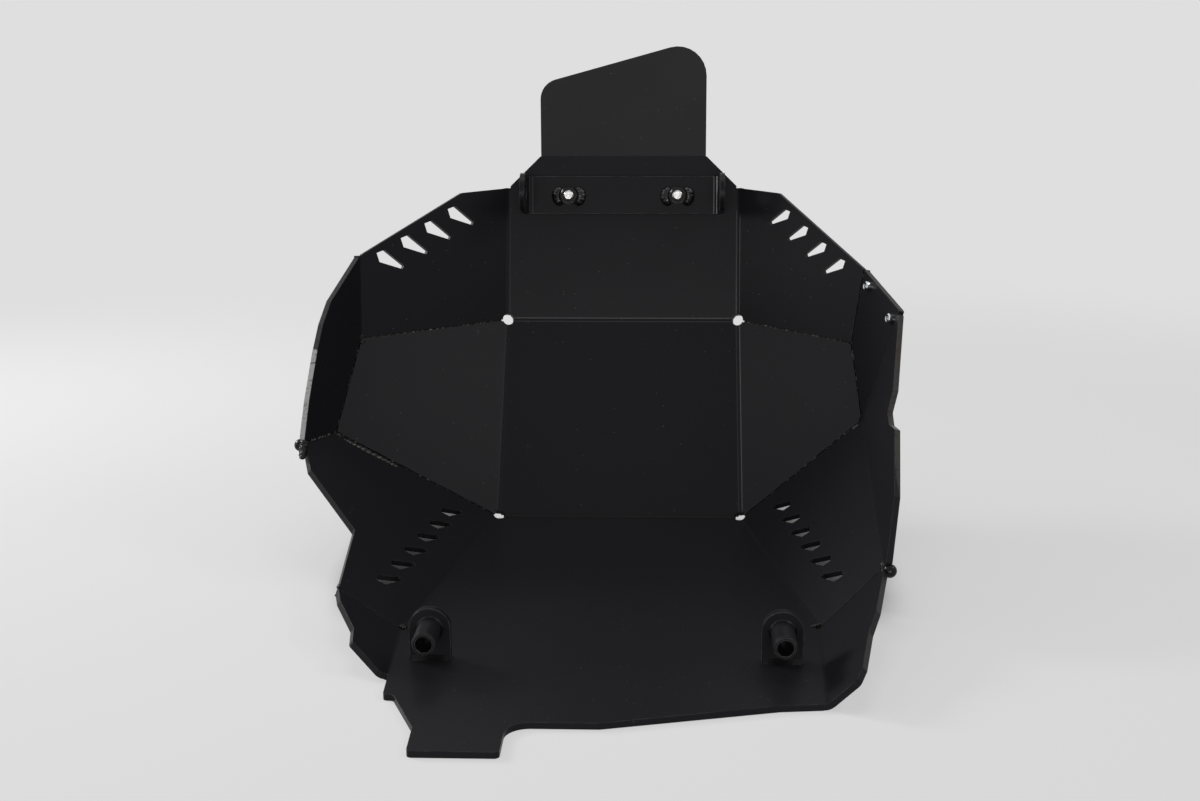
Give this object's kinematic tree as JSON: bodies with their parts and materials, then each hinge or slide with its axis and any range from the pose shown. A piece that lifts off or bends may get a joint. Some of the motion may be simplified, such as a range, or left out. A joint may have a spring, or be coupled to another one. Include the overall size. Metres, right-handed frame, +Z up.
{
  "type": "skid plate",
  "caption": "Folded and welded skid plate that shields the underside and front of a motorcycle's engine, with vents, a front bracket and rear mounts.",
  "frame": {"origin": "on the underside of the bottom panel, on the centre line, directly below the rear faces of the rear upright plates", "axes": "+X to the right across the motorcycle, +Y forward along the bottom panel, +Z up"},
  "size_m": [0.4388, 0.5492, 0.3517],
  "materials": {
    "sheet": "satin black powder coat",
    "fitting": "satin black powder coat",
    "weld": "weld bead under satin black powder coat",
    "nut": "coated over",
    "bolt": "stainless",
    "rivet_nut": "bright zinc"
  },
  "bodies": {
    "root": {"folded_plate": "sheet", "weld_front_left": "weld", "weld_front_right": "weld", "weld_rear_left": "weld", "weld_rear_right": "weld", "weld_wall_left": "weld", "weld_wall_right": "weld", "weld_lower_left": "weld", "weld_lower_right": "weld", "weld_wall_tail_left": "weld", "weld_wall_nose_right": "weld", "weld_vee_left": "weld", "weld_vee_right": "weld", "weld_nose_left": "weld", "weld_heel_right": "weld", "weld_corner_left": "weld", "weld_corner_right": "weld", "weld_tail_left": "weld", "weld_tail_right": "weld", "front_bracket": "fitting", "front_nut_left": "nut", "front_nut_right": "nut", "nut_weld_left": "weld", "nut_weld_right": "weld", "front_bolt_left": "bolt", "front_bolt_right": "bolt", "front_washer_left": "bolt", "front_washer_right": "bolt", "rear_upright_left": "fitting", "rear_upright_right": "fitting", "rear_tube_left": "fitting", "rear_tube_right": "fitting", "tube_weld_left": "weld", "tube_weld_right": "weld", "upright_weld_left": "weld", "upright_weld_right": "weld", "rivet_nut_front": "rivet_nut", "rivet_nut_rear": "rivet_nut"}
  },
  "joints": []
}
